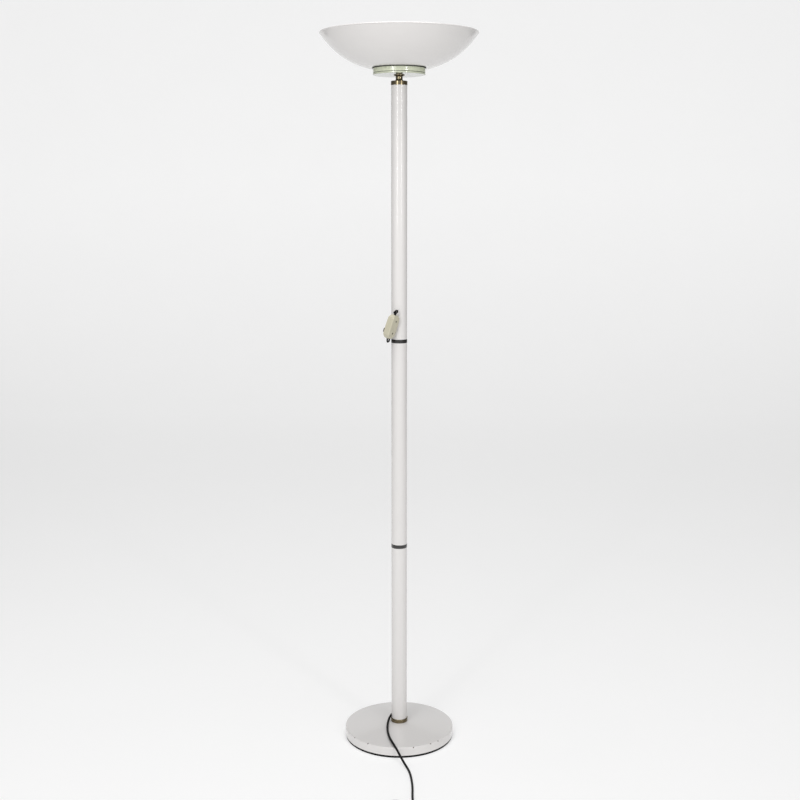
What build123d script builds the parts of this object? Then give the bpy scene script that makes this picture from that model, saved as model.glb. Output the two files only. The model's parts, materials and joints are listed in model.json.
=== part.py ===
from build123d import *
import os
from math import pi, radians, sqrt, tan

# Torchiere floor lamp: a weighted round base, a pole in three screwed sections, two glass
# discs under an uplighter bowl, and a slide dimmer that hangs on its leads beside the pole.
# Millimetres, +Z up, origin on the floor at the centre of the base.

os.makedirs("parts", exist_ok=True)

# ---------------------------------------------------------------- driving dimensions
total_height = 1800.0  # floor to the bowl's rim

base_radius = 140.0
foot_height = 6.0
foot_width = 13.0
skirt_height = 26.5  # floor to the cover's shoulder
crown_height = 37.0  # floor to the flat middle of the cover
crown_radius = 22.0
cover_wall = 1.5
shoulder_round = 2.5
base_plate_thickness = 1.2
weight_thickness = 12.5

pole_radius = 20.0
pole_wall = 1.2
collar_height = 9.7
joint_heights = {"lower": 504.8, "upper": 1035.3}
ring_height = 9.3
ring_overhang = 0.5
spigot_length = 28.0
socket_length = 30.0
cap_height = 10.0
cap_flare = 5.0
neck_radius = 8.6
flange_radius = 13.3
neck_height = 10.8
flange_thickness = 3.7

glass_radius = 65.0
lower_glass_thickness = 4.4
upper_glass_thickness = 11.8
gasket_thickness = 1.5
gasket_overhang = 1.5

bowl_depth = 84.3
bowl_rim_radius = 194.5
bowl_floor_radius = 80.0
bowl_arc_radius = 192.0
bowl_wall = 1.2
rim_bead_radius = 1.6

rod_radius = 5.0  # M10 threaded tube
rod_clearance = rod_radius + 0.3
rod_bore = 3.6
thread_gap = 0.05  # between a thread and its nut, radially
nut_flats = 17.0
nut_thickness = 4.2
washer_thickness = 1.0

lamp_length = 117.6  # between the end contacts of a linear halogen lamp
lamp_radius = 5.5
lamp_cap_radius = 3.6
lamp_cap_length = 9.5
lamp_rise = 48.0  # lamp axis above the bowl's floor
contact_travel = 3.0
contact_gap = 0.2

cord_radius = 2.8
dimmer_lead_radius = 2.0
hole_gap = 0.1  # between a lead and the rubber bush round it, radially
bush_wall = 1.2
splice_radius = 3.6
splice_length = 24.0

dimmer_height = joint_heights["upper"] + 44.2  # floor to the middle of the housing
dimmer_reach = (-19.7, -pole_radius - 14.0)  # the housing's middle, from the pole's axis
dimmer_yaw = 38.0
dimmer_lean = 17.5
dimmer_half_length = 30.0
dimmer_half_width = 14.0
dimmer_half_depth = 9.4
dimmer_wall = 2.0
dimmer_screw_pitch = 30.6
slider_rest = -13.0  # along the housing, from its middle
slider_travel = 26.0
slider_gap = 0.3

plug_width = 35.0
plug_thickness = 14.0
plug_length = 34.0
pin_radius = 2.0
pin_length = 19.0
pin_pitch = 18.6

coil_centre = (-9.6, -412.0)
coil_inner_radius = 22.4  # centreline of the smallest turn
coil_outer_radius = 41.6  # centreline of the largest turn

# ---------------------------------------------------------------- worked-out heights
pole_bore = pole_radius - pole_wall
tube_start = crown_height + collar_height
bowl_floor = total_height - bowl_depth
gasket_base = bowl_floor - gasket_thickness
seam_height = gasket_base - upper_glass_thickness
glass_base = seam_height - lower_glass_thickness
flange_base = glass_base - flange_thickness
cap_top = flange_base - neck_height
cap_base = cap_top - cap_height
lamp_axis = bowl_floor + bowl_wall + lamp_rise


# ---------------------------------------------------------------- helpers
def outline(*points):
    """A closed outline of (radius, height) points, to be turned about the lamp's axis."""
    with BuildSketch(Plane.XZ) as sketch:
        with BuildLine():
            Polyline(*points, close=True)
        make_face()
    return sketch.sketch


def disc(height, outer, inner=0.0):
    """A ring, or a full disc, in a level plane."""
    with BuildSketch(Plane.XY.offset(height)) as sketch:
        Circle(outer)
        if inner:
            Circle(inner, mode=Mode.SUBTRACT)
    return sketch.sketch


def hexagon(height, flats, bore):
    """A nut's section in a level plane."""
    with BuildSketch(Plane.XY.offset(height)) as sketch:
        RegularPolygon(flats / 2, 6, major_radius=False)
        Circle(bore, mode=Mode.SUBTRACT)
    return sketch.sketch


def arc_radii(points):
    """The bend radius at each inner point of a route: 0.45 of its shorter run allows it."""
    points = [Vector(*p) for p in points]
    radii = []
    for before, here, after in zip(points, points[1:], points[2:]):
        turn = (here - before).get_angle(after - here)
        run = min((here - before).length, (after - here).length)
        radii.append(0.45 * run / tan(radians(turn / 2)))
    return radii


def lead(points, radius):
    """A round lead along straight runs joined by tangent arcs."""
    radii = arc_radii(points)
    with BuildPart() as piece:
        with BuildLine():
            path = FilletPolyline(*points, radius=radii)
        with BuildSketch(Plane(origin=path @ 0, z_dir=path % 0)):
            Circle(radius)
        sweep(path=path)
    length = path.length
    print(
        f"lead: {length:.1f} mm, volume / (section x length) "
        f"{piece.part.volume / (pi * radius**2 * length):.4f}, bend radii",
        [round(r, 1) for r in radii],
    )
    return piece


pieces = {}

# ---------------------------------------------------------------- base
rubber_radius = base_radius - 1.0
with BuildPart() as foot_ring:
    revolve(
        outline(
            (rubber_radius - foot_width, 0),
            (rubber_radius - 1, 0),
            (rubber_radius, 1.2),
            (rubber_radius, foot_height),
            (rubber_radius - foot_width, foot_height),
        ),
        axis=Axis.Z,
    )
pieces["foot_ring"] = foot_ring

cone_slope = (crown_height - skirt_height) / (base_radius - crown_radius)


def cone_height(radius):
    """The cover's outer surface at a distance from the axis."""
    return crown_height - (radius - crown_radius) * cone_slope


with BuildPart() as base_cover:
    inner_radius = base_radius - cover_wall
    with BuildSketch(Plane.XZ) as cover_section:
        with BuildLine():
            Polyline(
                (base_radius, foot_height),
                (base_radius, skirt_height),
                (crown_radius, crown_height),
                (rod_clearance, crown_height),
                (rod_clearance, crown_height - cover_wall),
                (crown_radius, crown_height - cover_wall),
                (inner_radius, cone_height(inner_radius) - cover_wall),
                (inner_radius, foot_height),
                close=True,
            )
        make_face()
        shoulder = cover_section.vertices().group_by(Axis.X)[-1].sort_by(Axis.Y)[-1]
        fillet(shoulder, shoulder_round)
        inside = cover_section.vertices().group_by(Axis.X)[-2].sort_by(Axis.Y)[-1]
        fillet(inside, shoulder_round - cover_wall)
    revolve(axis=Axis.Z)
pieces["base_cover"] = base_cover

plate_top = foot_height + base_plate_thickness
with BuildPart() as base_plate:
    extrude(disc(foot_height, base_radius - cover_wall - 0.5, rod_clearance), base_plate_thickness)
pieces["base_plate"] = base_plate

weight_top = plate_top + weight_thickness
weight_radius = base_radius - cover_wall - 10
crown_underside = crown_height - cover_wall
with BuildPart() as base_weight:
    revolve(
        outline(
            (rod_clearance, plate_top),
            (weight_radius, plate_top),
            (weight_radius, weight_top - 3),
            (weight_radius - 8, weight_top),
            (crown_radius + 8, weight_top),
            (crown_radius - 2, crown_underside),
            (rod_clearance, crown_underside),
        ),
        axis=Axis.Z,
    )
pieces["base_weight"] = base_weight

with BuildPart() as base_washer:
    extrude(disc(foot_height - washer_thickness, 12, rod_clearance), washer_thickness)
pieces["base_washer"] = base_washer

base_nut_bottom = foot_height - washer_thickness - nut_thickness
with BuildPart() as base_nut:
    extrude(hexagon(base_nut_bottom, nut_flats, rod_radius + thread_gap), nut_thickness)
pieces["base_nut"] = base_nut

web_base = crown_height + 4
web_top = web_base + 4
with BuildPart() as base_rod:
    extrude(disc(base_nut_bottom, rod_radius, rod_bore), web_top + 4.5 - base_nut_bottom)
    chamfer(base_rod.edges().filter_by(GeomType.CIRCLE).sort_by(SortBy.RADIUS)[-2:], 0.5)
pieces["base_rod"] = base_rod

collar_radius = pole_radius + 1.7
collar_wall = 3.6
collar_spigot = 1.0
with BuildPart() as base_collar:
    with BuildSketch(Plane.XZ) as collar_section:
        with BuildLine():
            Polyline(
                (rod_radius + thread_gap, web_base),
                (pole_bore - collar_wall, web_base),
                (pole_bore - collar_wall, crown_height),
                (collar_radius, crown_height),
                (collar_radius, tube_start),
                (pole_bore, tube_start),
                (pole_bore, tube_start + collar_spigot),
                (pole_bore - collar_wall, tube_start + collar_spigot),
                (pole_bore - collar_wall, web_top),
                (rod_radius + thread_gap, web_top),
                close=True,
            )
        make_face()
        fillet(collar_section.vertices().group_by(Axis.X)[-1], 1.2)
    revolve(axis=Axis.Z)
pieces["base_collar"] = base_collar

with BuildPart() as collar_nut:
    extrude(hexagon(web_top, nut_flats, rod_radius + thread_gap), 4)
pieces["collar_nut"] = collar_nut

# ---------------------------------------------------------------- leads and their holes
mains_route = [
    (1.5 - pole_radius, -0.6, 52.2),
    (-pole_radius - 3.2, -3.4, 50.3),
    (-27.4, -12.5, 44.6),
    (-30.0, -29.0, 40.6),
    (-30.8, -50.0, 37.9),
    (-28.6, -76.0, 35.9),
    (-23.8, -101.0, 34.3),
    (-16.2, -127.0, 33.8),
    (-6.2, -150.0, 28.6),
    (5.0, -167.5, 14.0),
    (15.8, -187.0, 4.4),
    (24.6, -214.0, 3.0),
    (29.6, -252.0, 2.9),
    (32.0, -296.0, 3.0),
    (31.0, -338.0, 2.9),
    (32.0, -368.0, 3.0),
    (32.0, -394.0, 3.1),
]
tail_route = [
    (-24.0, -453.4, 8.5),
    (-34.0, -451.6, 7.6),
    (-45.0, -447.4, 7.0),
    (-56.0, -441.2, 7.0),
]
cord_end_route = [
    mains_route[0],
    (7.61 - pole_radius, 3.04, 54.67),
    (-8.0, 6.0, 74.0),
    (-5.0, 5.2, 110.0),
    (-4.14, 5.12, 149.48),
]
lower_inner_route = [
    cord_end_route[-1],
    (3.6, 4.4, joint_heights["lower"]),
    (5.2, 4.6, joint_heights["upper"] - 14),
    (4.4, 3.6, joint_heights["upper"] + 2),
    (-1.0, 0.6, joint_heights["upper"] + 13),
    (-9.6, -1.6, joint_heights["upper"] + 17.4),
    (2.6 - pole_radius, -2.8, joint_heights["upper"] + 14.6),
    (-pole_radius - 3.8, -4.3, joint_heights["upper"] + 12.0),
    (-25.2, -9.4, joint_heights["upper"] + 6.6),
    (-26.2, -18.4, joint_heights["upper"] + 4.8),
    (-29.4, -30.0, joint_heights["upper"] + 4.8),
    (-30.22, dimmer_reach[1], joint_heights["upper"] + 10.82),
    (-26.92, dimmer_reach[1], joint_heights["upper"] + 21.3),
]
upper_inner_route = [
    (-12.48, dimmer_reach[1], dimmer_height + 22.9),
    (-9.7, dimmer_reach[1], dimmer_height + 31.7),
    (-3.8, -32.8, dimmer_height + 36.4),
    (-4.6, -27.4, dimmer_height + 39.8),
    (-9.6, -22.4, dimmer_height + 37.6),
    (-10.6, 3.8 - pole_radius, dimmer_height + 32.6),
    (-9.2, -9.0, dimmer_height + 29.6),
    (-4.0, -3.2, dimmer_height + 32.0),
    (-0.4, -0.4, dimmer_height + 44.0),
    (0.2, 0.6, dimmer_height + 70.0),
    (0.0, 0.6, cap_base - 60),
    (0.0, 0.0, cap_base),
    (0.0, 0.01, bowl_floor + 14.0),
    (5.0, 0.0, bowl_floor + 19.4),
    (13.0, 0.0, bowl_floor + 20.4),
    (22.0, 0.0, bowl_floor + 15.0),
    (30.0, 0.0, bowl_floor + 13.0),
]


def route_plane(route, index):
    """The plane across a route at one of its points, facing along the run that follows."""
    here, after = Vector(*route[index]), Vector(*route[index + 1])
    return Plane(origin=here, z_dir=after - here)


def bush_radius(lead_radius):
    """The outside of the bush round a lead, and the radius of the hole it sits in."""
    return lead_radius + hole_gap + bush_wall


def bushes(exits, reach):
    """Rubber bushes round leads: each exit is a plane and the radius of its lead."""
    with BuildPart() as piece:
        for plane, lead_radius in exits:
            with BuildSketch(plane):
                Circle(bush_radius(lead_radius))
                Circle(lead_radius + hole_gap, mode=Mode.SUBTRACT)
            extrude(amount=reach, both=True)
    return piece


base_exit = (route_plane(mains_route, 0), cord_radius)
lower_exit = (route_plane(lower_inner_route, 6), dimmer_lead_radius)
upper_exit = (route_plane(upper_inner_route, 5), dimmer_lead_radius)

# ---------------------------------------------------------------- pole
tube_spans = {
    "lower_tube": (tube_start, joint_heights["lower"]),
    "middle_tube": (joint_heights["lower"] + ring_height, joint_heights["upper"]),
    "upper_tube": (joint_heights["upper"] + ring_height, cap_base),
}
tube_holes = {
    "lower_tube": [base_exit],
    "middle_tube": [],
    "upper_tube": [lower_exit, upper_exit],
}
for tube_name, (start, end) in tube_spans.items():
    with BuildPart() as tube:
        with BuildSketch(Plane.XY.offset(start)):
            Circle(pole_radius)
            Circle(pole_bore, mode=Mode.SUBTRACT)
        extrude(amount=end - start)
        for hole_plane, lead_radius in tube_holes[tube_name]:
            with BuildSketch(hole_plane):
                Circle(bush_radius(lead_radius))
            extrude(amount=10, both=True, mode=Mode.SUBTRACT)
    pieces[tube_name] = tube

spigot_bore = pole_bore - 4.3
thread_radius = pole_bore - 1.8
for joint, height in joint_heights.items():
    ring_top = height + ring_height

    with BuildPart() as joint_ring:
        revolve(
            outline(
                (thread_radius + thread_gap, height),
                (pole_radius + ring_overhang, height),
                (pole_radius + ring_overhang, ring_top),
                (thread_radius + thread_gap, ring_top),
            ),
            axis=Axis.Z,
        )
        rim_edges = joint_ring.edges().filter_by(GeomType.CIRCLE).group_by(SortBy.RADIUS)[-1]
        fillet(rim_edges, 0.8)
    pieces[f"{joint}_joint_ring"] = joint_ring

    with BuildPart() as joint_socket:
        revolve(
            outline(
                (thread_radius + thread_gap, height - socket_length),
                (pole_bore, height - socket_length),
                (pole_bore, height),
                (thread_radius + thread_gap, height),
            ),
            axis=Axis.Z,
        )
    pieces[f"{joint}_joint_socket"] = joint_socket

    with BuildPart() as joint_spigot:
        revolve(
            outline(
                (spigot_bore, height - socket_length + 3),
                (thread_radius, height - socket_length + 3),
                (thread_radius, ring_top),
                (pole_bore, ring_top),
                (pole_bore, ring_top + spigot_length),
                (spigot_bore, ring_top + spigot_length),
            ),
            axis=Axis.Z,
        )
        if joint == "upper":
            with BuildSketch(lower_exit[0]):
                Circle(bush_radius(dimmer_lead_radius))
            extrude(amount=12, both=True, mode=Mode.SUBTRACT)
    pieces[f"{joint}_joint_spigot"] = joint_spigot

with BuildPart() as pole_cap:
    with BuildSketch(Plane.XZ):
        with BuildLine():
            foot = (neck_radius + cap_flare, cap_top)
            waist = (neck_radius, cap_top + cap_flare)
            Polyline(
                waist,
                (neck_radius, flange_base),
                (rod_radius + thread_gap, flange_base),
                (rod_radius + thread_gap, cap_base + 3),
                (pole_bore - 3, cap_base + 3),
                (pole_bore - 3, cap_base - 18),
                (pole_bore, cap_base - 18),
                (pole_bore, cap_base),
                (pole_radius + 0.6, cap_base),
                (pole_radius + 0.6, cap_top - 0.8),
                (pole_radius - 0.2, cap_top),
                foot,
            )
            TangentArc(foot, waist, tangent=(-1, 0))
        make_face()
    revolve(axis=Axis.Z)
pieces["pole_cap"] = pole_cap

with BuildPart() as neck_flange:
    revolve(
        outline(
            (rod_clearance, flange_base),
            (neck_radius, flange_base),
            (flange_radius, flange_base + 2.2),
            (flange_radius, glass_base),
            (rod_clearance, glass_base),
        ),
        axis=Axis.Z,
    )
pieces["neck_flange"] = neck_flange

# ---------------------------------------------------------------- glass discs
glass_bore = neck_radius + 0.3
for glass_name, start, end in (
    ("lower_glass", glass_base, seam_height),
    ("upper_glass", seam_height, gasket_base),
):
    with BuildPart() as glass:
        extrude(disc(start, glass_radius, glass_bore), end - start)
        arris = glass.edges().filter_by(GeomType.CIRCLE).group_by(SortBy.RADIUS)[-1]
        fillet(arris, 0.8)
    pieces[glass_name] = glass

with BuildPart() as glass_bush:
    extrude(disc(glass_base, neck_radius, rod_clearance), gasket_base - glass_base)
pieces["glass_bush"] = glass_bush

with BuildPart() as glass_gasket:
    extrude(disc(gasket_base, glass_radius + gasket_overhang, rod_clearance), gasket_thickness)
pieces["glass_gasket"] = glass_gasket

# ---------------------------------------------------------------- bowl
with BuildPart() as bowl:
    with BuildSketch(Plane.XZ) as bowl_section:
        rim_point = (bowl_rim_radius, total_height - rim_bead_radius)
        with BuildLine():
            wall_arc = RadiusArc((bowl_floor_radius, bowl_floor), rim_point, -bowl_arc_radius)
            centre = wall_arc.arc_center
            inner_arc_radius = bowl_arc_radius - bowl_wall
            floor_top = bowl_floor + bowl_wall
            inner_floor_radius = centre.X + sqrt(inner_arc_radius**2 - (centre.Y - floor_top) ** 2)
            inner_rim = centre + (Vector(*rim_point) - centre).normalized() * inner_arc_radius
            Line(rim_point, (inner_rim.X, inner_rim.Y))
            RadiusArc((inner_floor_radius, floor_top), (inner_rim.X, inner_rim.Y), -inner_arc_radius)
            Polyline(
                (inner_floor_radius, floor_top),
                (rod_clearance, floor_top),
                (rod_clearance, bowl_floor),
                (bowl_floor_radius, bowl_floor),
            )
        make_face()
        with Locations((bowl_rim_radius - bowl_wall / 2, total_height - rim_bead_radius)):
            Circle(rim_bead_radius)
    revolve(axis=Axis.Z)
pieces["bowl"] = bowl

# ---------------------------------------------------------------- fixings in the bowl
bracket_base = floor_top + 1.5
bracket_sheet = 1.5
bracket_top = bracket_base + bracket_sheet
with BuildPart() as bowl_washer:
    extrude(disc(floor_top, 20, rod_clearance), bracket_base - floor_top)
pieces["bowl_washer"] = bowl_washer

with BuildPart() as bowl_nut:
    extrude(hexagon(bracket_top, nut_flats, rod_radius + thread_gap), nut_thickness)
pieces["bowl_nut"] = bowl_nut

with BuildPart() as neck_rod:
    rod_start = cap_base + 3.5
    extrude(disc(rod_start, rod_radius, rod_bore), bracket_top + nut_thickness + 2 - rod_start)
pieces["neck_rod"] = neck_rod

# ---------------------------------------------------------------- lamp and its holders
half_lamp = lamp_length / 2
holder_mouth = half_lamp - 3
holder_length = 20.0
ear_face = holder_mouth + holder_length
holder_width, holder_height = 16.0, 24.0
bracket_width = 30.0

with BuildPart() as lamp_bracket:
    with BuildSketch(Plane.XZ):
        with BuildLine():
            ear_top = lamp_axis + holder_height / 2
            Polyline(
                (-ear_face - bracket_sheet, ear_top),
                (-ear_face, ear_top),
                (-ear_face, bracket_top),
                (ear_face, bracket_top),
                (ear_face, ear_top),
                (ear_face + bracket_sheet, ear_top),
                (ear_face + bracket_sheet, bracket_base),
                (-ear_face - bracket_sheet, bracket_base),
                close=True,
            )
        make_face()
    extrude(amount=bracket_width / 2, both=True)
    outer_bends = lamp_bracket.edges().filter_by(Axis.Y).group_by(Axis.Z)[0]
    fillet(outer_bends, 1.2)
    with BuildSketch(Plane.XY.offset(bracket_base)):
        Circle(rod_clearance)
    extrude(amount=bracket_sheet, mode=Mode.SUBTRACT)
pieces["lamp_bracket"] = lamp_bracket

spring_wire = 0.35
spring_radius = 2.6
spring_turns = 4.5
spring_solid = 4.4  # the spring's length when it is fully pressed
collar_thickness = 1.2  # on the sprung contact
chamber_start = half_lamp + 5
collar_start = chamber_start + 0.3
chamber_end = collar_start + collar_thickness + contact_travel + spring_solid
lamp_recess = 1.2  # from the end of the lamp to its contact
contact_tip = half_lamp - lamp_recess + contact_gap
for side_name, side in (("left", -1), ("right", 1)):
    across = Plane(origin=(0, 0, lamp_axis), z_dir=(side, 0, 0))

    with BuildPart() as lampholder:
        with BuildSketch(across.offset(holder_mouth)):
            RectangleRounded(holder_height, holder_width, 2)
        extrude(amount=holder_length)
        with BuildSketch(across.offset(holder_mouth)):
            Circle(lamp_cap_radius + 1.6)
        extrude(amount=4.5, mode=Mode.SUBTRACT)
        with BuildSketch(across.offset(holder_mouth)):
            Circle(2.55)
        extrude(amount=chamber_start - holder_mouth, mode=Mode.SUBTRACT)
        with BuildSketch(across.offset(chamber_start)):
            Circle(3.6)
        extrude(amount=chamber_end - chamber_start, mode=Mode.SUBTRACT)
    pieces[f"{side_name}_lampholder"] = lampholder

    with BuildPart() as contact:
        with BuildSketch(across.offset(contact_tip)):
            Circle(2.2)
        extrude(amount=1.6)
        with BuildSketch(across.offset(contact_tip + 1.6)):
            Circle(2.5)
        extrude(amount=collar_start - contact_tip - 1.6)
        with BuildSketch(across.offset(collar_start)):
            Circle(3.2)
        extrude(amount=collar_thickness)
        fillet(contact.faces().sort_by(Axis.X)[0 if side > 0 else -1].edges(), 1.0)
    pieces[f"{side_name}_contact"] = contact

    spring_start = collar_start + collar_thickness + spring_wire
    spring_length = chamber_end - spring_wire - spring_start
    with BuildPart() as contact_spring:
        with BuildLine():
            coils = Helix(
                spring_length / spring_turns,
                spring_length,
                spring_radius,
                center=(side * spring_start, 0, lamp_axis),
                direction=(side, 0, 0),
            )
        with BuildSketch(Plane(origin=coils @ 0, z_dir=coils % 0)):
            Circle(spring_wire)
        sweep(path=coils)
    pieces[f"{side_name}_spring"] = contact_spring

with BuildPart() as lamp_caps:
    for side in (-1, 1):
        across = Plane(origin=(0, 0, lamp_axis), z_dir=(side, 0, 0))
        with BuildSketch(across.offset(half_lamp - lamp_cap_length)):
            Circle(lamp_cap_radius)
        extrude(amount=lamp_cap_length)
        with BuildSketch(across.offset(half_lamp - lamp_recess)):
            Circle(lamp_cap_radius - 0.8)
        extrude(amount=lamp_recess, mode=Mode.SUBTRACT)
pieces["lamp_caps"] = lamp_caps

tube_end = half_lamp - lamp_cap_length
lamp_profile = [
    (0, -tube_end),
    (2.4, -tube_end),
    (2.4, -tube_end + 5),
    (lamp_radius, -tube_end + 9),
    (lamp_radius, tube_end - 9),
    (2.4, tube_end - 5),
    (2.4, tube_end),
    (0, tube_end),
]
lamp_plane = Plane(origin=(0, 0, lamp_axis), x_dir=(0, 0, 1), z_dir=(0, -1, 0))
with BuildPart() as lamp_tube:
    with BuildSketch(lamp_plane) as lamp_section:
        with BuildLine():
            Polyline(*lamp_profile, close=True)
        make_face()
        bore_wall = 1.0
        with BuildLine():
            Polyline(
                (0, -tube_end + 9),
                (lamp_radius - bore_wall, -tube_end + 10),
                (lamp_radius - bore_wall, tube_end - 10),
                (0, tube_end - 9),
                close=True,
            )
        make_face(mode=Mode.SUBTRACT)
    revolve(axis=Axis((0, 0, lamp_axis), (1, 0, 0)))
pieces["lamp_tube"] = lamp_tube

with BuildPart() as lamp_filament:
    with BuildSketch(Plane(origin=(-tube_end + 10, 0, lamp_axis), z_dir=(1, 0, 0))):
        Circle(0.7)
    extrude(amount=2 * (tube_end - 10))
pieces["lamp_filament"] = lamp_filament

reflector_floor = lamp_axis - 22.0
reflector_sheet = 0.8
reflector_half_length = holder_mouth - 4
with BuildPart() as reflector:
    with BuildSketch(Plane.YZ) as trough:
        with BuildLine():
            bend, lip = 15.0, 38.0
            lip_height = lamp_axis - 2
            Polyline(
                (-lip, lip_height),
                (-bend, reflector_floor),
                (bend, reflector_floor),
                (lip, lip_height),
                (lip - 1, lip_height + 0.6),
                (bend - 0.4, reflector_floor + reflector_sheet),
                (-bend + 0.4, reflector_floor + reflector_sheet),
                (-lip + 1, lip_height + 0.6),
                close=True,
            )
        make_face()
    extrude(amount=reflector_half_length, both=True)
pieces["reflector"] = reflector

with BuildPart() as reflector_posts:
    with BuildSketch(Plane.XY.offset(bracket_top)):
        with Locations((-40, 0), (40, 0)):
            Circle(3)
    extrude(amount=reflector_floor - bracket_top)
pieces["reflector_posts"] = reflector_posts

with BuildPart() as terminal_block:
    block_end = upper_inner_route[-1]
    with BuildSketch(Plane.XY.offset(bracket_top)):
        with Locations((block_end[0] + 3, 0)):
            Rectangle(6, 27)
    extrude(amount=16)
    fillet(terminal_block.edges().filter_by(Axis.Z), 1)
pieces["terminal_block"] = terminal_block

wire_radius = 1.1
wire_height = bracket_top + 5
with BuildPart() as holder_wires:
    for side, start_y in ((1, -11.6), (-1, 11.6)):
        start_x = block_end[0] + (6 if side > 0 else 0)
        turn_x = side * (ear_face - 4)
        wire_route = [
            (start_x, start_y, wire_height),
            (turn_x, start_y, wire_height),
            (turn_x, start_y / 2, wire_height + 6),
            (turn_x, start_y / 2, lamp_axis - holder_height / 2),
        ]
        with BuildLine():
            wire = FilletPolyline(*wire_route, radius=2.5)
        with BuildSketch(Plane(origin=wire @ 0, z_dir=wire % 0)):
            Circle(wire_radius)
        sweep(path=wire)
pieces["holder_wires"] = holder_wires

with BuildPart() as holder_screws:
    for side in (-1, 1):
        screw_plane = Plane(origin=(0, 0, lamp_axis), z_dir=(side, 0, 0))
        with BuildSketch(screw_plane.offset(ear_face + bracket_sheet)):
            with Locations((8, 0), (-8, 0)):
                Circle(2.6)
        extrude(amount=1.8)
pieces["holder_screws"] = holder_screws

# ---------------------------------------------------------------- dimmer
def leaned(vector):
    """A direction in the upright housing, turned to where the housing hangs."""
    return vector.rotate(Axis.Z, -dimmer_yaw).rotate(Axis.Y, dimmer_lean)


dimmer_plane = Plane(
    origin=(*dimmer_reach, dimmer_height),
    x_dir=leaned(Vector(0, 1, 0)),
    z_dir=leaned(Vector(1, 0, 0)),
)
dimmer_end_width = 6.5
dimmer_end_depth = 5.5
dimmer_shoulder = 8.4  # from the end of the housing to its shoulder
shoulder_height = dimmer_half_length - dimmer_shoulder
shoulder_width = dimmer_half_width - 1


def mirrored(corners):
    """A closed outline from its right half, listed from the top down."""
    with BuildLine() as line:
        Polyline(*corners, *[(-x, y) for x, y in reversed(corners)], close=True)
    return line.line


with BuildSketch(dimmer_plane) as housing_face:
    add(
        mirrored(
            [
                (dimmer_end_width, dimmer_half_length),
                (shoulder_width, shoulder_height),
                (dimmer_half_width, 0),
                (shoulder_width, -shoulder_height),
                (dimmer_end_width, -dimmer_half_length),
            ]
        )
    )
    make_face()

with BuildSketch(dimmer_plane) as cavity:
    add(
        mirrored(
            [
                (shoulder_width - dimmer_wall, shoulder_height),
                (dimmer_half_width - dimmer_wall, 0),
                (shoulder_width - dimmer_wall, -shoulder_height),
            ]
        )
    )
    make_face()

side_plane = Plane(dimmer_plane.origin, x_dir=dimmer_plane.z_dir, z_dir=-dimmer_plane.x_dir)
with BuildSketch(side_plane) as housing_side:
    add(
        mirrored(
            [
                (dimmer_end_depth, dimmer_half_length),
                (dimmer_half_depth, shoulder_height + 1),
                (dimmer_half_depth, -shoulder_height - 1),
                (dimmer_end_depth, -dimmer_half_length),
            ]
        )
    )
    make_face()


def end_plane(end):
    """The plane of the housing's top (1) or bottom (-1) end, facing out."""
    centre = dimmer_plane.from_local_coords(Vector(0, end * dimmer_half_length, 0))
    return Plane(origin=centre, z_dir=dimmer_plane.y_dir * end)


recess_depth = 4.0
screw_column = 1.0
screw_spots = [(screw_column, dimmer_screw_pitch / 2), (screw_column, -dimmer_screw_pitch / 2)]
screw_seat = dimmer_half_depth - recess_depth
boss_radius = 2.9
screw_head = 1.9
outward = Axis(dimmer_plane.origin, dimmer_plane.z_dir)

with BuildPart() as dimmer_cover:
    extrude(housing_face.sketch, dimmer_half_depth)
    chamfer(dimmer_cover.faces().sort_by(outward)[-1].edges(), 1.6)
    extrude(housing_side.sketch, dimmer_half_width + 1, both=True, mode=Mode.INTERSECT)
    extrude(cavity.sketch, dimmer_half_depth - dimmer_wall, mode=Mode.SUBTRACT)
    with BuildSketch(dimmer_plane):
        with Locations(*screw_spots):
            Circle(boss_radius)
    extrude(amount=dimmer_half_depth - dimmer_wall)
    with BuildSketch(dimmer_plane):
        with Locations(*screw_spots):
            Circle(1.5)
    extrude(amount=dimmer_half_depth, mode=Mode.SUBTRACT)
    with BuildSketch(dimmer_plane.offset(screw_seat)):
        with Locations(*screw_spots):
            Circle(screw_head + 0.1)
    extrude(amount=recess_depth, mode=Mode.SUBTRACT)
    with BuildSketch(end_plane(-1), end_plane(1)):
        Circle(bush_radius(dimmer_lead_radius))
    extrude(amount=-dimmer_shoulder - 1, mode=Mode.SUBTRACT)
pieces["dimmer_cover"] = dimmer_cover

slider_column = -6.2
stem_length = 6.0
stem_width = 3.0
knob_rise = 3.6
slot_length = slider_travel + stem_length + 2 * slider_gap + 0.4
with BuildPart() as dimmer_housing:
    extrude(housing_face.sketch, -dimmer_half_depth)
    chamfer(dimmer_housing.faces().sort_by(outward)[0].edges(), 1.6)
    extrude(housing_side.sketch, dimmer_half_width + 1, both=True, mode=Mode.INTERSECT)
    extrude(cavity.sketch, -dimmer_half_depth + dimmer_wall, mode=Mode.SUBTRACT)
    with BuildSketch(dimmer_plane):
        with Locations(*screw_spots):
            Circle(boss_radius)
            Circle(1.2, mode=Mode.SUBTRACT)
    extrude(amount=-dimmer_half_depth + dimmer_wall)
    with BuildSketch(dimmer_plane.offset(-dimmer_half_depth)):
        with Locations((slider_column, slider_rest + slider_travel / 2)):
            Rectangle(stem_width + 2 * slider_gap, slot_length)
    extrude(amount=dimmer_wall, mode=Mode.SUBTRACT)
    with BuildSketch(end_plane(-1), end_plane(1)):
        Circle(bush_radius(dimmer_lead_radius))
    extrude(amount=-dimmer_shoulder - 1, mode=Mode.SUBTRACT)
pieces["dimmer_housing"] = dimmer_housing

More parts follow.
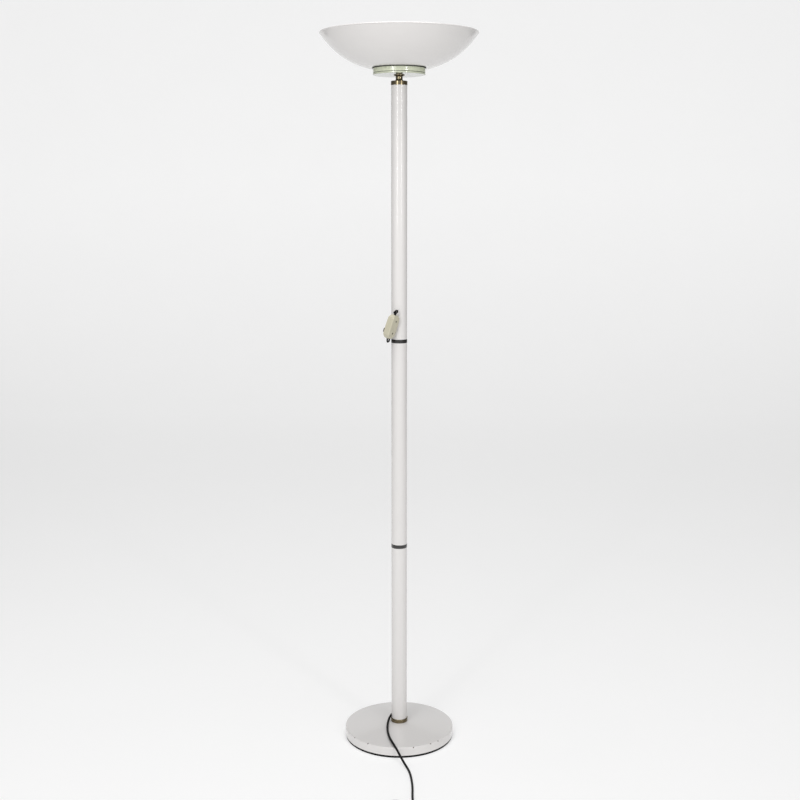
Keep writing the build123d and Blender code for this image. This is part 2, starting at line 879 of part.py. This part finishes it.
carriage_thickness = 2.0
carriage_outside = -dimmer_half_depth + dimmer_wall + slider_gap
carriage_inside = carriage_outside + carriage_thickness
with BuildPart() as slider_knob:
    with BuildSketch(dimmer_plane.offset(carriage_inside)):
        with Locations((slider_column, slider_rest)):
            Rectangle(7, 10)
    extrude(amount=-carriage_thickness)
    with BuildSketch(dimmer_plane.offset(carriage_outside)):
        with Locations((slider_column, slider_rest)):
            Rectangle(stem_width, stem_length)
    extrude(amount=-dimmer_wall - 2 * slider_gap)
    with BuildSketch(dimmer_plane.offset(-dimmer_half_depth - slider_gap)):
        with Locations((slider_column, slider_rest)):
            RectangleRounded(8, 11, 1.5)
    extrude(amount=-knob_rise, taper=8)
pieces["slider_knob"] = slider_knob

board_base = 0.2
board_thickness = 1.6
with BuildPart() as dimmer_board:
    with BuildSketch(dimmer_plane.offset(board_base)):
        Rectangle(19, 42)
        with Locations(*screw_spots):
            Circle(boss_radius + 0.3, mode=Mode.SUBTRACT)
    extrude(amount=board_thickness)
pieces["dimmer_board"] = dimmer_board

with BuildPart() as slide_pot:
    with BuildSketch(dimmer_plane.offset(board_base)):
        with Locations((slider_column, slider_rest + slider_travel / 2)):
            Rectangle(6.5, slider_travel + 14)
    extrude(amount=carriage_inside + slider_gap - board_base)
pieces["slide_pot"] = slide_pot

component_base = board_base + board_thickness
with BuildPart() as dimmer_choke:
    with BuildSketch(dimmer_plane.offset(component_base)):
        with Locations((0, 5)):
            Circle(5.8)
            Circle(2.2, mode=Mode.SUBTRACT)
    extrude(amount=5)
    fillet(dimmer_choke.edges().filter_by(GeomType.CIRCLE), 1.2)
pieces["dimmer_choke"] = dimmer_choke

with BuildPart() as dimmer_capacitor:
    with BuildSketch(dimmer_plane.offset(component_base)):
        with Locations((0, -5.5)):
            RectangleRounded(13, 5, 1)
    extrude(amount=5)
pieces["dimmer_capacitor"] = dimmer_capacitor

with BuildPart() as dimmer_screws:
    with BuildSketch(dimmer_plane.offset(screw_seat)):
        with Locations(*screw_spots):
            Circle(screw_head)
    extrude(amount=1.6)
    with BuildSketch(dimmer_plane.offset(screw_seat)):
        with Locations(*screw_spots):
            Circle(1.15)
    extrude(amount=-screw_seat - 5)
    with BuildSketch(dimmer_plane.offset(screw_seat + 1)):
        with Locations(*screw_spots):
            Rectangle(2.8, 0.7)
            Rectangle(0.7, 2.8)
    extrude(amount=0.6, mode=Mode.SUBTRACT)
pieces["dimmer_screws"] = dimmer_screws

# ---------------------------------------------------------------- leads
with BuildPart() as lower_lead:
    add(lead(cord_end_route, cord_radius).part)
    add(lead(lower_inner_route, dimmer_lead_radius).part)
    with BuildSketch(route_plane(lower_inner_route, 0)):
        Circle(splice_radius)
    extrude(amount=splice_length / 2, both=True)
pieces["lower_lead"] = lower_lead
pieces["upper_lead"] = lead(upper_inner_route, dimmer_lead_radius)
pieces["pole_bushes"] = bushes((base_exit, lower_exit, upper_exit), 3.2)
dimmer_exits = [(end_plane(end), dimmer_lead_radius) for end in (-1, 1)]
pieces["dimmer_bushes"] = bushes(dimmer_exits, 1.6)

# ---------------------------------------------------------------- mains cord, coil and plug
pieces["mains_cord"] = lead(mains_route, cord_radius)
pieces["cord_tail"] = lead(tail_route, cord_radius)

coil_height = 4 * cord_radius + 0.4
with BuildPart() as cord_coil:
    with BuildSketch(Plane(origin=(*coil_centre, 0))):
        Circle(coil_outer_radius + cord_radius)
        Circle(coil_inner_radius - cord_radius, mode=Mode.SUBTRACT)
    extrude(amount=coil_height)
    fillet(cord_coil.edges(), cord_radius - 0.3)
pieces["cord_coil"] = cord_coil

plug_start = Vector(*tail_route[-1])
plug_axis = plug_start - Vector(*tail_route[-2])
plug_axis = Vector(plug_axis.X, plug_axis.Y, 0).normalized()
plug_plane = Plane(origin=plug_start, x_dir=Vector(0, 0, 1).cross(plug_axis), z_dir=plug_axis)
relief_length = 22.0
with BuildPart() as plug_body:
    with BuildSketch(plug_plane):
        Circle(cord_radius + 0.8)
    with BuildSketch(plug_plane.offset(relief_length)):
        Circle(plug_thickness / 2 - 1.5)
    loft()
    with BuildSketch(plug_plane.offset(relief_length)):
        RectangleRounded(15, plug_thickness, 4)
    with BuildSketch(plug_plane.offset(relief_length + 12)):
        RectangleRounded(plug_width, plug_thickness, 4)
    loft()
    with BuildSketch(plug_plane.offset(relief_length + 12)):
        RectangleRounded(plug_width, plug_thickness, 4)
    extrude(amount=plug_length - 12)
pieces["plug_body"] = plug_body

with BuildPart() as plug_pins:
    with BuildSketch(plug_plane.offset(relief_length + plug_length)):
        with Locations((-pin_pitch / 2, 0), (pin_pitch / 2, 0)):
            Circle(pin_radius)
    extrude(amount=pin_length)
    tips = plug_pins.faces().sort_by(Axis(plug_start, plug_axis))[-2:]
    fillet(tips.edges(), 1.2)
pieces["plug_pins"] = plug_pins

# ---------------------------------------------------------------- export
for name, piece in pieces.items():
    piece.part.label = name
    export_step(piece.part, f"parts/{name}.step")
print(len(pieces), "nodes")
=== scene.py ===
import json
import math

import bmesh
import bpy
from mathutils import Matrix, Vector


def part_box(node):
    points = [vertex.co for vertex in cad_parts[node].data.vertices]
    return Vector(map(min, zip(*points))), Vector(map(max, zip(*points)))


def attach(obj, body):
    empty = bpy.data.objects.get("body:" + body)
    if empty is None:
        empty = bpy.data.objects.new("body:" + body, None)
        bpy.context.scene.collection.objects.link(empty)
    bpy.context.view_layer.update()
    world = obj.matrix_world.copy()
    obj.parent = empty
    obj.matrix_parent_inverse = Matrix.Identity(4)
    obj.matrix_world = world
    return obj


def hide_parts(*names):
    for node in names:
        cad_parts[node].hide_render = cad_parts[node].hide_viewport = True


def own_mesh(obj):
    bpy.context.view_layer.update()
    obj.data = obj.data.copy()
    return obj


# Torchiere floor lamp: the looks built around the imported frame. Metres, +Z up, origin on the
# floor at the centre of the base.

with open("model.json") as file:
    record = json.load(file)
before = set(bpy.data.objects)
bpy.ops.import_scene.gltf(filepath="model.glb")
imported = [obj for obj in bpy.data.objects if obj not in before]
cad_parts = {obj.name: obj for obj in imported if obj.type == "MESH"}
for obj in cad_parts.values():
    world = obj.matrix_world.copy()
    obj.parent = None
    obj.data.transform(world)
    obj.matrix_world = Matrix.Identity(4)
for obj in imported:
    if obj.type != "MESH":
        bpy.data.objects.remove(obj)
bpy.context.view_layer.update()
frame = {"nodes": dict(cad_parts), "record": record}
nodes = frame["nodes"]
base_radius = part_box("base_cover")[1].x

# ---------------------------------------------------------------- camera
camera_distance = 3.027
camera_height = 1.408
camera_pitch = 6.90  # degrees below the horizon
sensor_width = 36.0
focal_length = 54.35
shift_across = 0.001
shift_up = -0.075

camera = bpy.data.objects.new("camera", bpy.data.cameras.new("camera"))
bpy.context.collection.objects.link(camera)
camera.location = (0, -camera_distance, camera_height)
camera.rotation_euler = (math.radians(90 - camera_pitch), 0, 0)
camera.data.sensor_width = sensor_width
camera.data.lens = focal_length
camera.data.shift_x = shift_across
camera.data.shift_y = shift_up
bpy.context.scene.camera = camera

# ---------------------------------------------------------------- mains lead
lead_diameter = 0.0056
lead_route = [
    (-0.0185, -0.0006, 0.0522),
    (-0.0232, -0.0034, 0.0503),
    (-0.0274, -0.0125, 0.0446),
    (-0.0300, -0.0290, 0.0406),
    (-0.0308, -0.0500, 0.0379),
    (-0.0286, -0.0760, 0.0359),
    (-0.0238, -0.1010, 0.0343),
    (-0.0162, -0.1270, 0.0338),
    (-0.0062, -0.1500, 0.0286),
    (0.0050, -0.1675, 0.0140),
    (0.0158, -0.1870, 0.0044),
    (0.0246, -0.2140, 0.0030),
    (0.0296, -0.2520, 0.0029),
    (0.0320, -0.2960, 0.0030),
    (0.0310, -0.3380, 0.0029),
    (0.0320, -0.3680, 0.0030),
    (0.0320, -0.3940, 0.0031),
]
tail_route = [
    (-0.0240, -0.4534, 0.0085),
    (-0.0340, -0.4516, 0.0076),
    (-0.0450, -0.4474, 0.0070),
    (-0.0560, -0.4412, 0.0070),
]
coil_centre = Vector((-0.0096, -0.4120, 0))
coil_outer = 0.0416  # centreline radius of the largest turn
coil_inner = 0.0224
coil_layers = (0.0032, 0.0088)  # heights of the two layers' centrelines
turns_per_layer = 3.125
points_per_turn = 16
climb_turns = 0.5  # turns over which the lead rises to the upper layer
tie_clearance = 0.0031  # from the outer turns' centrelines to the tie's middle
tie_thickness = 0.0003
tie_width = 0.0030


def coil_points():
    """Two flat spirals, clockwise from above: inwards on the floor, then outwards on top."""
    steps = round(2 * turns_per_layer * points_per_turn)
    reach = 1 / math.cos(math.pi / points_per_turn)
    low, high = coil_layers
    for i in range(1, steps):
        turn = i / points_per_turn
        inward = abs(1 - turn / turns_per_layer)
        radius = (coil_inner + (coil_outer - coil_inner) * inward) * reach
        rise = min(max((turn - turns_per_layer) / climb_turns + 0.5, 0), 1)
        angle = -2 * math.pi * turn
        yield (
            coil_centre.x + radius * math.cos(angle),
            coil_centre.y + radius * math.sin(angle),
            low + (high - low) * rise,
        )


def nurbs(name, points, radius):
    """A smooth round cord through its control points."""
    curve = bpy.data.curves.new(name, "CURVE")
    curve.dimensions = "3D"
    curve.bevel_depth = 1.0  # the points' own radii set the thickness, and the curve's box
    curve.bevel_resolution = 5
    curve.use_fill_caps = True
    spline = curve.splines.new("NURBS")
    spline.points.add(len(points) - 1)
    for place, point in zip(spline.points, points):
        place.co = (*point, 1)
        place.radius = radius
    spline.order_u = 3
    spline.use_endpoint_u = True
    spline.resolution_u = 6
    made = bpy.data.objects.new(name, curve)
    bpy.context.collection.objects.link(made)
    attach(made, "lamp")
    return made


mains_flex = nurbs(
    "mains_flex", [*lead_route, *coil_points(), *tail_route], lead_diameter / 2
)
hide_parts("mains_cord", "cord_coil", "cord_tail")


def coil_tie():
    """A flat plastic tie round the coil's section, with a ratchet head on top."""
    azimuth = math.radians(135)
    out = Vector((math.cos(azimuth), math.sin(azimuth), 0))
    along = Vector((-out.y, out.x, 0))
    near, far = coil_inner - tie_clearance, coil_outer + tie_clearance
    low, high = tie_thickness, coil_layers[1] + tie_clearance
    corner = tie_clearance - 0.0004
    middles = (
        (far - corner, high - corner, 0),
        (near + corner, high - corner, 90),
        (near + corner, low + corner, 180),
        (far - corner, low + corner, 270),
    )
    mesh = bmesh.new()
    rings = []
    for reach, height, start in middles:
        for step in range(7):
            angle = math.radians(start + 15 * step)
            ring = []
            for across, thick in ((-1, 0), (1, 0), (1, 1), (-1, 1)):
                size = corner + tie_thickness * (thick - 0.5)
                place = coil_centre + out * (reach + size * math.cos(angle))
                place += along * (across * tie_width / 2)
                place.z = height + size * math.sin(angle)
                ring.append(mesh.verts.new(place))
            rings.append(ring)
    for ring, after in zip(rings, rings[1:] + rings[:1]):
        for i in range(4):
            mesh.faces.new((ring[i], ring[(i + 1) % 4], after[(i + 1) % 4], after[i]))
    head = bmesh.ops.create_cube(mesh, size=1)["verts"]
    turn = Matrix.Rotation(azimuth, 4, "Z")
    place = coil_centre + out * (far + near) / 2 + Vector((0, 0, high + 0.0010))
    size = Matrix.Diagonal((0.0052, 0.0046, 0.0030, 1))
    bmesh.ops.transform(mesh, matrix=Matrix.Translation(place) @ turn @ size, verts=head)
    edges = {edge for vert in head for edge in vert.link_edges}
    bmesh.ops.bevel(mesh, geom=list(edges), offset=0.0005, segments=2, affect="EDGES")
    bmesh.ops.recalc_face_normals(mesh, faces=mesh.faces)
    return finished("coil_tie", mesh)


def finished(name, mesh, body="lamp"):
    """An object from a mesh being built, riding on one of the lamp's bodies."""
    data = bpy.data.meshes.new(name)
    mesh.to_mesh(data)
    mesh.free()
    made = bpy.data.objects.new(name, data)
    bpy.context.collection.objects.link(made)
    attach(made, body)
    return made


def filament():
    """The halogen lamp's fine tungsten coil."""
    low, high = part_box("lamp_filament")
    middle = (low + high) / 2
    reach = (high.x - low.x) / 2
    radius = (high.z - low.z) / 2 - filament_wire
    steps = filament_turns * 10
    points = []
    for i in range(steps + 1):
        share = i / steps
        angle = 2 * math.pi * filament_turns * share
        x = middle.x - reach + 2 * reach * share
        across, rise = radius * math.cos(angle), radius * math.sin(angle)
        points.append((x, middle.y + across, middle.z + rise))
    return nurbs("filament", points, filament_wire)


def contact_spring(side):
    """The coiled spring behind a lamp contact, which shortens as the contact goes in."""
    low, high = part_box(f"{side}_spring")
    middle = (low + high) / 2
    radius = (high.z - low.z) / 2 - spring_wire
    start, end = low.x + spring_wire, high.x - spring_wire
    steps = round(spring_turns * 24)
    mesh = bmesh.new()
    rings = []
    for i in range(steps + 1):
        share = i / steps
        angle = 2 * math.pi * spring_turns * share
        out = Vector((0, math.cos(angle), math.sin(angle)))
        centre = Vector((start + (end - start) * share, middle.y, middle.z)) + out * radius
        ring = []
        for k in range(8):
            turn = 2 * math.pi * k / 8
            across = out * math.cos(turn) + Vector((math.sin(turn), 0, 0))
            ring.append(mesh.verts.new(centre + across * spring_wire))
        rings.append(ring)
    for ring, after in zip(rings, rings[1:]):
        for k in range(8):
            mesh.faces.new((ring[k], ring[(k + 1) % 8], after[(k + 1) % 8], after[k]))
    mesh.faces.new(rings[0])
    mesh.faces.new(rings[-1])
    bmesh.ops.recalc_face_normals(mesh, faces=mesh.faces)
    for face in mesh.faces:
        face.smooth = len(face.verts) == 4
    made = finished(f"{side}_coil", mesh)
    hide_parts(f"{side}_spring")
    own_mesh(made)
    return made


spring_turns = 4.5
spring_wire = 0.00035
springs = [contact_spring("left"), contact_spring("right")]

filament_turns = 64
filament_wire = 0.00012
coil_wire = filament()
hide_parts("lamp_filament")

tie = coil_tie()

# ---------------------------------------------------------------- studio
scene = bpy.context.scene
scene.view_settings.view_transform = "Standard"


def studio_world():
    """Bright on the camera's side, dim at the sides and behind."""
    world = bpy.data.worlds.new("studio")
    world.use_nodes = True
    tree = world.node_tree
    direction = tree.nodes.new("ShaderNodeTexCoord").outputs["Generated"]
    split = tree.nodes.new("ShaderNodeSeparateXYZ")
    fade = tree.nodes.new("ShaderNodeMapRange")
    fade.inputs["From Min"].default_value = -1.0
    fade.inputs["From Max"].default_value = -0.05
    fade.inputs["To Min"].default_value = world_front
    fade.inputs["To Max"].default_value = world_back
    fade.interpolation_type = "SMOOTHSTEP"
    tree.links.new(direction, split.inputs["Vector"])
    tree.links.new(split.outputs["Y"], fade.inputs["Value"])
    tree.links.new(fade.outputs["Result"], tree.nodes["Background"].inputs["Strength"])
    tree.nodes["Background"].inputs["Color"].default_value = (1, 1, 1, 1)
    return world


world_front = 0.80
world_back = 0.24
scene.world = studio_world()


def light(name, size, power, place, aim):
    """A square softbox of that size, at a place, turned to a point."""
    lamp = bpy.data.lights.new(name, "AREA")
    lamp.shape = "RECTANGLE"
    lamp.size, lamp.size_y = size
    lamp.energy = power
    made = bpy.data.objects.new(name, lamp)
    made.location = place
    made.rotation_euler = (Vector(aim) - Vector(place)).to_track_quat("-Z", "Y").to_euler()
    bpy.context.collection.objects.link(made)
    return made


strip_distance = 3.0
strip_height = 2.0
strip_aim = 1.6  # the height that the strips point at
strip_size = (0.22, 1.5)
for name, azimuth, power in (("left_strip", -32, 11), ("right_strip", 26, 10)):
    turn = Matrix.Rotation(math.radians(-azimuth), 3, "Z")
    place = turn @ Vector((0, -strip_distance, strip_height))
    light(name, strip_size, power, place, (0, 0, strip_aim))
light("key", (1.4, 1.4), 16, (-1.3, -2.6, 2.6), (0, 0, 0.9))
light("top", (2.0, 2.0), 42, (0, -0.5, 3.4), (0, 0, 0))

sweep_width = 7.0
sweep_front = 3.2
sweep_depth = 4.6
sweep_bend = 1.5
sweep_height = 3.6


def sweep():
    """A pale floor that curves up into a backdrop."""
    profile = [(-sweep_front, 0), (sweep_depth, 0)]
    steps = 16
    for i in range(1, steps + 1):
        angle = math.pi / 2 * i / steps
        profile.append(
            (sweep_depth + sweep_bend * math.sin(angle), sweep_bend * (1 - math.cos(angle)))
        )
    profile.append((sweep_depth + sweep_bend, sweep_height))
    mesh = bpy.data.meshes.new("floor")
    corners = [(x, y, z) for y, z in profile for x in (-sweep_width / 2, sweep_width / 2)]
    faces = [(2 * i, 2 * i + 1, 2 * i + 3, 2 * i + 2) for i in range(len(profile) - 1)]
    mesh.from_pydata(corners, [], faces)
    for face in mesh.polygons:
        face.use_smooth = True
    floor = bpy.data.objects.new("floor", mesh)
    bpy.context.collection.objects.link(floor)
    return floor


floor = sweep()


# ---------------------------------------------------------------- material building
class Finish:
    """A node material under construction, in the frame's own coordinates."""

    def __init__(self, name, colour, roughness, **sockets):
        self.material = bpy.data.materials.new(name)
        self.material.use_nodes = True
        self.tree = self.material.node_tree
        self.shader = self.tree.nodes["Principled BSDF"]
        self.set("Base Color", (*colour, 1))
        self.set("Roughness", roughness)
        for socket, value in sockets.items():
            self.set(socket.replace("_", " "), value)
        self.place = self.node("ShaderNodeTexCoord").outputs["Object"]

    def set(self, socket, value):
        """A fixed value, or another node's output, into one of the shader's sockets."""
        if isinstance(value, bpy.types.NodeSocket):
            self.tree.links.new(value, self.shader.inputs[socket])
        else:
            self.shader.inputs[socket].default_value = value

    def node(self, kind, **settings):
        made = self.tree.nodes.new(kind)
        for setting, value in settings.items():
            setattr(made, setting, value)
        return made

    def feed(self, node, **values):
        for socket, value in values.items():
            target = node.inputs[socket.replace("_", " ")]
            if isinstance(value, bpy.types.NodeSocket):
                self.tree.links.new(value, target)
            else:
                target.default_value = value

    def stretched(self, scale):
        """The object's coordinates, stretched by a scale on each axis."""
        mapping = self.node("ShaderNodeMapping")
        self.feed(mapping, Vector=self.place, Scale=scale)
        return mapping.outputs["Vector"]

    def noise(self, scale, detail=3.0, roughness=0.5, place=None):
        noise = self.node("ShaderNodeTexNoise")
        place = place or self.place
        self.feed(noise, Vector=place, Scale=scale, Detail=detail, Roughness=roughness)
        return noise.outputs["Fac"]

    def ramp(self, factor, low, high, start=0.0, end=1.0):
        """factor's stretch from low to high, spread over start to end and held beyond."""
        ramp = self.node("ShaderNodeMapRange")
        ramp.inputs["From Min"].default_value = low
        ramp.inputs["From Max"].default_value = high
        ramp.inputs["To Min"].default_value = start
        ramp.inputs["To Max"].default_value = end
        self.feed(ramp, Value=factor)
        return ramp.outputs["Result"]

    def mix(self, factor, first, second):
        """Two colours blended by a factor."""
        mix = self.node("ShaderNodeMix", data_type="RGBA")
        for socket, value in zip((0, 6, 7), (factor, first, second)):
            if isinstance(value, bpy.types.NodeSocket):
                self.tree.links.new(value, mix.inputs[socket])
            else:
                mix.inputs[socket].default_value = value if socket == 0 else (*value, 1)
        return mix.outputs[2]

    def math(self, operation, first, second=0.5):
        maths = self.node("ShaderNodeMath", operation=operation)
        for socket, value in zip((0, 1), (first, second)):
            if isinstance(value, bpy.types.NodeSocket):
                self.tree.links.new(value, maths.inputs[socket])
            else:
                maths.inputs[socket].default_value = value
        return maths.outputs[0]

    def axis(self, name):
        """One coordinate of the frame, in metres."""
        split = self.node("ShaderNodeSeparateXYZ")
        self.feed(split, Vector=self.place)
        return split.outputs[name]

    def bump(self, height, strength, distance):
        bump = self.node("ShaderNodeBump")
        self.feed(bump, Height=height, Strength=strength, Distance=distance)
        self.set("Normal", bump.outputs["Normal"])


def lacquer():
    """Glossy stove enamel with slight drifts of tone and small chips at the base's edge."""
    finish = Finish("lacquer", off_white, 0.26, Coat_Weight=0.5, Coat_Roughness=0.08)
    drift = finish.ramp(finish.noise(3, 1, 0.4), 0.1, 0.9)
    tone = finish.mix(drift, off_white, warm_shade)
    ragged = finish.node("ShaderNodeVectorMath", operation="ADD")
    wobble = finish.node("ShaderNodeTexNoise")
    finish.feed(wobble, Vector=finish.place, Scale=260.0, Detail=3.0)
    shift = finish.node("ShaderNodeVectorMath", operation="MULTIPLY_ADD")
    shift.inputs[1].default_value = (0.006, 0.006, 0.006)
    shift.inputs[2].default_value = (-0.003, -0.003, -0.003)
    finish.tree.links.new(wobble.outputs["Color"], shift.inputs[0])
    finish.tree.links.new(finish.place, ragged.inputs[0])
    finish.tree.links.new(shift.outputs[0], ragged.inputs[1])
    bare = None
    for x, y, z, size in chips:
        gap = finish.node("ShaderNodeVectorMath", operation="DISTANCE")
        finish.tree.links.new(ragged.outputs[0], gap.inputs[0])
        gap.inputs[1].default_value = (x, y, z)
        spot = finish.ramp(gap.outputs["Value"], size * 0.8, size, 1.0, 0.0)
        bare = spot if bare is None else finish.math("MAXIMUM", bare, spot)
    finish.set("Base Color", finish.mix(bare, tone, bare_metal))
    finish.set("Roughness", finish.ramp(finish.noise(4, 1, 0.4), 0.1, 0.9, 0.24, 0.28))
    finish.bump(bare, 0.3, -0.0003)
    return finish.material


off_white = (0.745, 0.728, 0.716)
warm_shade = (0.722, 0.702, 0.688)
bare_metal = (0.085, 0.070, 0.055)
shoulder_radius = base_radius - 0.001
shoulder_height = 0.026
chip_azimuths = (215, 235, 285, 305, 315)  # degrees round the base's shoulder
chip_size = 0.0021
chips = [
    (
        shoulder_radius * math.cos(math.radians(azimuth)),
        shoulder_radius * math.sin(math.radians(azimuth)),
        shoulder_height,
        chip_size,
    )
    for azimuth in chip_azimuths
]


materials = {}
materials["lacquer"] = lacquer()


def brass():
    finish = Finish("brass", (0.30, 0.25, 0.15), 0.14, Metallic=1.0)
    tarnish = finish.ramp(finish.noise(160, 5, 0.65), 0.40, 0.70)
    finish.set("Base Color", finish.mix(tarnish, (0.27, 0.23, 0.145), (0.10, 0.068, 0.038)))
    turned = finish.noise(30, 4, 0.7, finish.stretched((1, 1, 60)))
    finish.set("Roughness", finish.ramp(turned, 0.3, 0.7, 0.08, 0.22))
    finish.bump(turned, 0.05, 0.0002)
    return finish.material


def metal(name, colour, roughness, grain):
    """Plated or drawn metal with a fine grain along one direction."""
    finish = Finish(name, colour, roughness, Metallic=1.0)
    brushed = finish.noise(40, 4, 0.7, finish.stretched(grain))
    finish.set("Roughness", finish.ramp(brushed, 0.3, 0.7, roughness * 0.7, roughness * 1.5))
    dull = tuple(0.75 * part for part in colour)
    worn = finish.ramp(finish.noise(90, 4), 0.4, 0.7)
    finish.set("Base Color", finish.mix(worn, colour, dull))
    finish.bump(brushed, 0.10, 0.0002)
    return finish.material


def moulded(name, colour, roughness, grain=900.0, depth=0.12, gloss=0.5):
    """Moulded plastic or rubber with a fine eroded texture and a little dust."""
    finish = Finish(name, colour, roughness, Specular_IOR_Level=gloss)
    fine = finish.noise(grain, 3, 0.6)
    dust = finish.ramp(finish.noise(55, 5, 0.7), 0.50, 0.78)
    pale = tuple(part * 1.3 + 0.02 * (1 - part) for part in colour)
    finish.set("Base Color", finish.mix(finish.math("MULTIPLY", dust, 0.25), colour, pale))
    roughest = min(1.0, roughness * 1.25)
    finish.set("Roughness", finish.ramp(fine, 0.3, 0.7, roughness * 0.85, roughest))
    finish.bump(fine, depth, 0.0002)
    return finish.material


def ivory():
    """The dimmer's satin ivory plastic, with shade painted near-black into the two screw
    recesses.
    """
    finish = Finish("ivory_plastic", (0.56, 0.53, 0.41), 0.34)
    drift = finish.ramp(finish.noise(40, 3), 0.3, 0.7)
    tone = finish.mix(drift, (0.58, 0.55, 0.43), (0.52, 0.49, 0.37))
    # painted shade: the base colour turns near-black within about 2.5 mm of each recess mouth,
    # standing in for the shadow inside the screw recesses
    recess_shade = None
    for spot in screw_recesses:
        gap = finish.node("ShaderNodeVectorMath", operation="DISTANCE")
        finish.tree.links.new(finish.place, gap.inputs[0])
        gap.inputs[1].default_value = spot
        dark = finish.ramp(gap.outputs["Value"], 0.0020, 0.0025, 1.0, 0.0)
        recess_shade = dark if recess_shade is None else finish.math("MAXIMUM", recess_shade, dark)
    finish.set("Base Color", finish.mix(recess_shade, tone, (0.030, 0.026, 0.020)))
    finish.bump(finish.noise(1500, 2), 0.05, 0.0002)
    return finish.material


def recess_mouths():
    """The middles of the dimmer's two screw recesses, straight out from the screws' heads."""
    lean = Matrix.Rotation(math.radians(dimmer_lean), 3, "Y")
    yaw = Matrix.Rotation(math.radians(-dimmer_yaw), 3, "Z")
    out = lean @ yaw @ Vector((1, 0, 0))
    places = [vertex.co for vertex in nodes["dimmer_screws"].data.vertices]
    middle = sum(places, Vector()) / len(places)
    for side in (1, -1):
        screw = [place for place in places if side * (place - middle).z > 0]
        top = max(place.dot(out) for place in screw)
        head = [place for place in screw if top - place.dot(out) < head_flatness]
        yield sum(head, Vector()) / len(head) + out * head_depth


dimmer_yaw = 38  # degrees, as in the part
dimmer_lean = 17.5
head_depth = 0.0024  # from a recess's mouth down to its screw's head
head_flatness = 0.0001
screw_recesses = list(recess_mouths())


def enamel_black():
    finish = Finish("black_ring", (0.012, 0.011, 0.010), 0.12, Coat_Weight=0.6)
    finish.set("Roughness", finish.ramp(finish.noise(120, 4), 0.4, 0.7, 0.08, 0.30))
    finish.bump(finish.noise(300, 2), 0.06, 0.0003)
    return finish.material


def float_glass():
    """Thick float glass, pale green at its edge, with a dark line where the discs meet and
    painted shade darkening its underside.
    """
    finish = Finish(
        "green_glass", edge_green, 0.12, IOR=1.52, Coat_Weight=0.6, Coat_Roughness=0.03
    )
    finish.set("Transmission Weight", 0.25)
    seam = finish.ramp(
        finish.math("ABSOLUTE", finish.math("SUBTRACT", finish.axis("Z"), seam_height)),
        0.0003, 0.0012, 1.0, 0.0,
    )
    depth = finish.mix(finish.ramp(finish.noise(14, 3), 0.35, 0.7), edge_green, deep_green)
    # painted shade: the lower disc's bottom face takes a darker grey-green than the rest of
    # the glass
    under = finish.ramp(finish.axis("Z"), glass_base + 0.0001, glass_base + 0.0009, 1.0, 0.0)
    body = finish.mix(under, depth, underside_shade_green)
    finish.set("Base Color", finish.mix(seam, body, seam_olive))
    finish.set("Roughness", finish.ramp(finish.noise(300, 3), 0.4, 0.8, 0.10, 0.20))
    finish.bump(finish.noise(80, 2), 0.02, 0.0003)
    return finish.material


edge_green = (0.86, 0.90, 0.70)
deep_green = (0.80, 0.86, 0.62)
seam_olive = (0.13, 0.14, 0.10)
# the colour of the painted shade on the glass's underside
underside_shade_green = (0.30, 0.33, 0.25)
seam_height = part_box("upper_glass")[0].z
glass_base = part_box("lower_glass")[0].z


def quartz():
    finish = Finish("quartz", (0.98, 0.98, 0.98), 0.02, Transmission_Weight=1.0, IOR=1.46)
    finish.bump(finish.noise(150, 3), 0.03, 0.0003)
    return finish.material


materials["polished_brass"] = brass()
materials["black_ring"] = enamel_black()
materials["zinc_steel"] = metal("zinc_steel", (0.60, 0.61, 0.62), 0.32, (8, 8, 40))
materials["cast_iron"] = moulded("cast_iron", (0.10, 0.10, 0.10), 0.7, 260, 0.6)
materials["black_rubber"] = moulded(
    "black_rubber", (0.006, 0.006, 0.006), 0.6, 900, 0.05, 0.12
)
materials["green_glass"] = float_glass()
materials["quartz"] = quartz()
materials["ceramic"] = moulded("ceramic", (0.78, 0.75, 0.68), 0.42, 600, 0.15)
materials["reflector_aluminium"] = metal(
    "reflector_aluminium", (0.86, 0.86, 0.87), 0.16, (60, 4, 4)
)
materials["spring_steel"] = metal("spring_steel", (0.45, 0.45, 0.46), 0.25, (30, 30, 30))
materials["contact_brass"] = metal("contact_brass", (0.66, 0.52, 0.27), 0.22, (60, 6, 6))
materials["ivory_plastic"] = ivory()
materials["dark_plastic"] = moulded("dark_plastic", (0.035, 0.030, 0.026), 0.40)
materials["board"] = moulded("board", (0.26, 0.17, 0.07), 0.5, 300, 0.1)
materials["choke"] = metal("choke", (0.55, 0.22, 0.08), 0.3, (4, 260, 4))
materials["cord_sheath"] = moulded("cord_sheath", (0.004, 0.004, 0.004), 0.42, 700, 0.03, 0.15)
materials["wire_sleeve"] = moulded("wire_sleeve", (0.74, 0.72, 0.66), 0.8, 1400, 0.5)
materials["pin_nickel"] = metal("pin_nickel", (0.70, 0.68, 0.62), 0.16, (30, 30, 4))

for entry in frame["record"]["subparts"]:
    node = nodes[entry["node"]]
    node.data.materials.clear()
    node.data.materials.append(materials[entry["material_slot"]])
mains_flex.data.materials.append(materials["cord_sheath"])
tie.data.materials.append(materials["dark_plastic"])
coil_wire.data.materials.append(materials["spring_steel"])
for spring in springs:
    spring.data.materials.append(materials["spring_steel"])


def pale_floor():
    finish = Finish("pale_floor", (0.55, 0.55, 0.55), 0.8, Emission_Strength=0.47)
    finish.set("Emission Color", (1, 1, 1, 1))
    tone = finish.mix(finish.noise(3, 3), (0.56, 0.56, 0.56), (0.54, 0.54, 0.54))
    finish.set("Base Color", tone)
    return finish.material


floor.data.materials.append(pale_floor())
